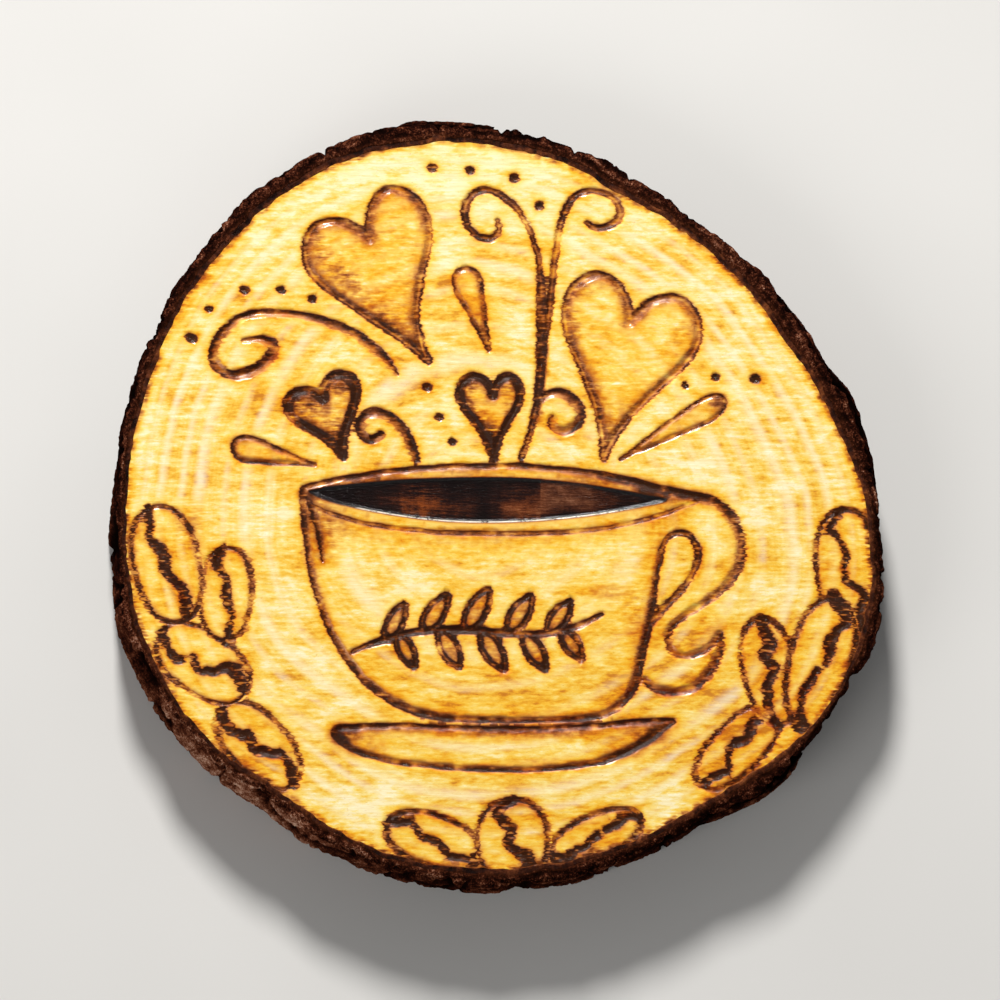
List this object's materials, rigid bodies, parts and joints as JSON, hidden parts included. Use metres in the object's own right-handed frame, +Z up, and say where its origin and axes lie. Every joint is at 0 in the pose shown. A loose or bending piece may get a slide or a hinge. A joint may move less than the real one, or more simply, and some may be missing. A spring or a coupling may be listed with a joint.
{
  "type": "pyrography wood slice coaster",
  "caption": "Thin round slice of a small log, bark on, varnished, with a cup, hearts, scrolls and coffee beans burned into its upper face; lies flat as a coaster.",
  "frame": {"origin": "in the underside plane, at the middle of the slice from left to right and from top to bottom of the drawing", "axes": "+Z up, out of the burned face, through the thickness; +Y to the top of the drawing; +X to its right, the side of the cup's handle"},
  "size_m": [0.0901, 0.0898, 0.01],
  "materials": {
    "wood": "fine sawn end grain with pale growth rings, toasted orange near the burning, clear gloss varnish",
    "pith": "soft dark core, matte",
    "inner_bark": "thin fibrous red-brown layer, half matte",
    "outer_bark": "rough dark brown bark with ridges, matte, varnished in places",
    "bark_scale": "rough bark with a lighter broken edge, matte",
    "char_line": "charred dark brown to black, blotchy, satin",
    "char_fill": "charred dark brown with lighter red-brown patches, gloss"
  },
  "bodies": {
    "root": {"bark_scale_lower_right": "bark_scale", "bark_scale_right": "bark_scale", "bark_scale_top": "bark_scale", "bean_bottom_1": "char_line", "bean_bottom_2": "char_line", "bean_bottom_3": "char_line", "bean_left_1": "char_line", "bean_left_2": "char_line", "bean_left_3": "char_line", "bean_left_4": "char_line", "bean_right_1": "char_line", "bean_right_2": "char_line", "bean_right_3": "char_line", "bean_right_4": "char_line", "coffee_surface": "char_fill", "cup_handle": "char_line", "cup_lip": "char_line", "cup_rim": "char_line", "cup_wall": "char_line", "dot_centre_1": "char_line", "dot_centre_2": "char_line", "dot_centre_3": "char_line", "dot_left_1": "char_line", "dot_left_2": "char_line", "dot_left_3": "char_line", "dot_left_4": "char_line", "dot_left_5": "char_line", "dot_right_1": "char_line", "dot_right_2": "char_line", "dot_right_3": "char_line", "dot_top_1": "char_line", "dot_top_2": "char_line", "dot_top_3": "char_line", "dot_top_4": "char_line", "drop_centre": "char_line", "drop_left": "char_line", "drop_right": "char_line", "handle_loop": "char_line", "heart_large_left": "char_line", "heart_large_right": "char_line", "heart_small_centre": "char_line", "heart_small_left": "char_line", "inner_bark": "inner_bark", "leaf_sprig": "char_line", "outer_bark": "outer_bark", "pith_core": "pith", "saucer": "char_line", "scroll_large_left": "char_line", "scroll_small_left": "char_line", "scroll_small_right": "char_line", "scroll_twin_stem": "char_line", "wood_disc": "wood"}
  },
  "joints": []
}
